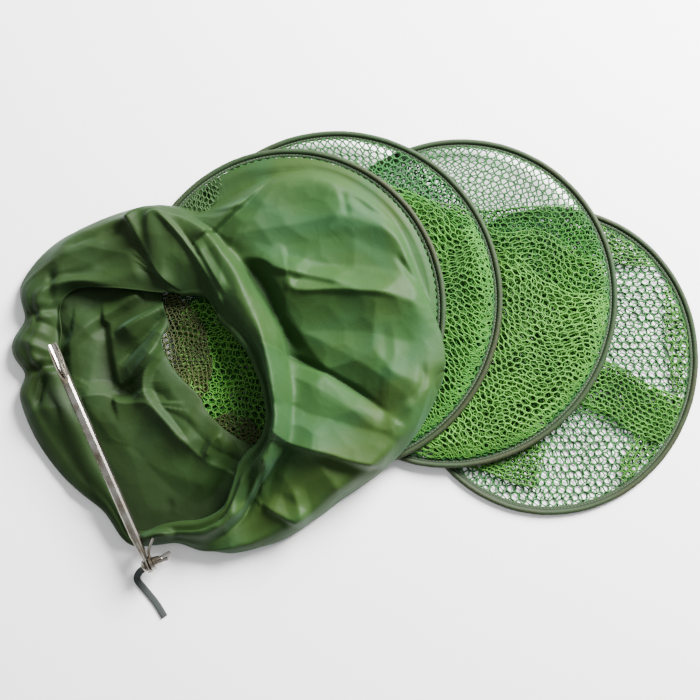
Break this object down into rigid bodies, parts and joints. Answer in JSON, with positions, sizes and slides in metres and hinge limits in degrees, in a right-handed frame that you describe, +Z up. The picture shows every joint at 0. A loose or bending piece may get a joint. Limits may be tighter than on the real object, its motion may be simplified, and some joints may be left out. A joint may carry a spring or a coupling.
{
  "type": "fishing net",
  "caption": "Folding fish keepnet lying collapsed: overlapping sleeved hoops with knotless netting between them, a crumpled cloth collar and a hinged steel bank stake.",
  "frame": {"origin": "middle of the footprint, on the surface the net lies on", "axes": "+X from the mouth towards the base hoop along the fan of hoops, +Y across it away from the stake's bolt, +Z up"},
  "size_m": [0.703, 0.4989, 0.0682],
  "materials": {
    "sleeve": "matt woven tape",
    "netting": "knotless knitted netting",
    "cloth": "soft sheen nylon",
    "tape": "matt woven tape",
    "steel": "polished stainless steel"
  },
  "bodies": {
    "net": {"hoop_1": "sleeve", "hoop_2": "sleeve", "hoop_3": "sleeve", "hoop_4": "sleeve", "base_net": "netting", "net_3_4": "netting", "net_2_3": "netting", "net_1_2": "netting", "collar": "cloth", "strap": "tape", "bolt": "steel", "wire_eye": "steel"},
    "stake": {"stake": "steel"},
    "wing_nut": {"wing_nut": "steel"}
  },
  "joints": [
    {"name": "stake_swing", "type": "hinge", "parent": "net", "child": "stake", "pos_m": [-0.20709, -0.21734, 0.021], "axis": [0.9143, 0.4051, 0], "range_deg": [0, 150]},
    {"name": "wing_nut_spin", "type": "hinge", "parent": "net", "child": "wing_nut", "pos_m": [-0.20709, -0.21734, 0.021], "axis": [0.9143, 0.4051, 0], "continuous": true}
  ]
}
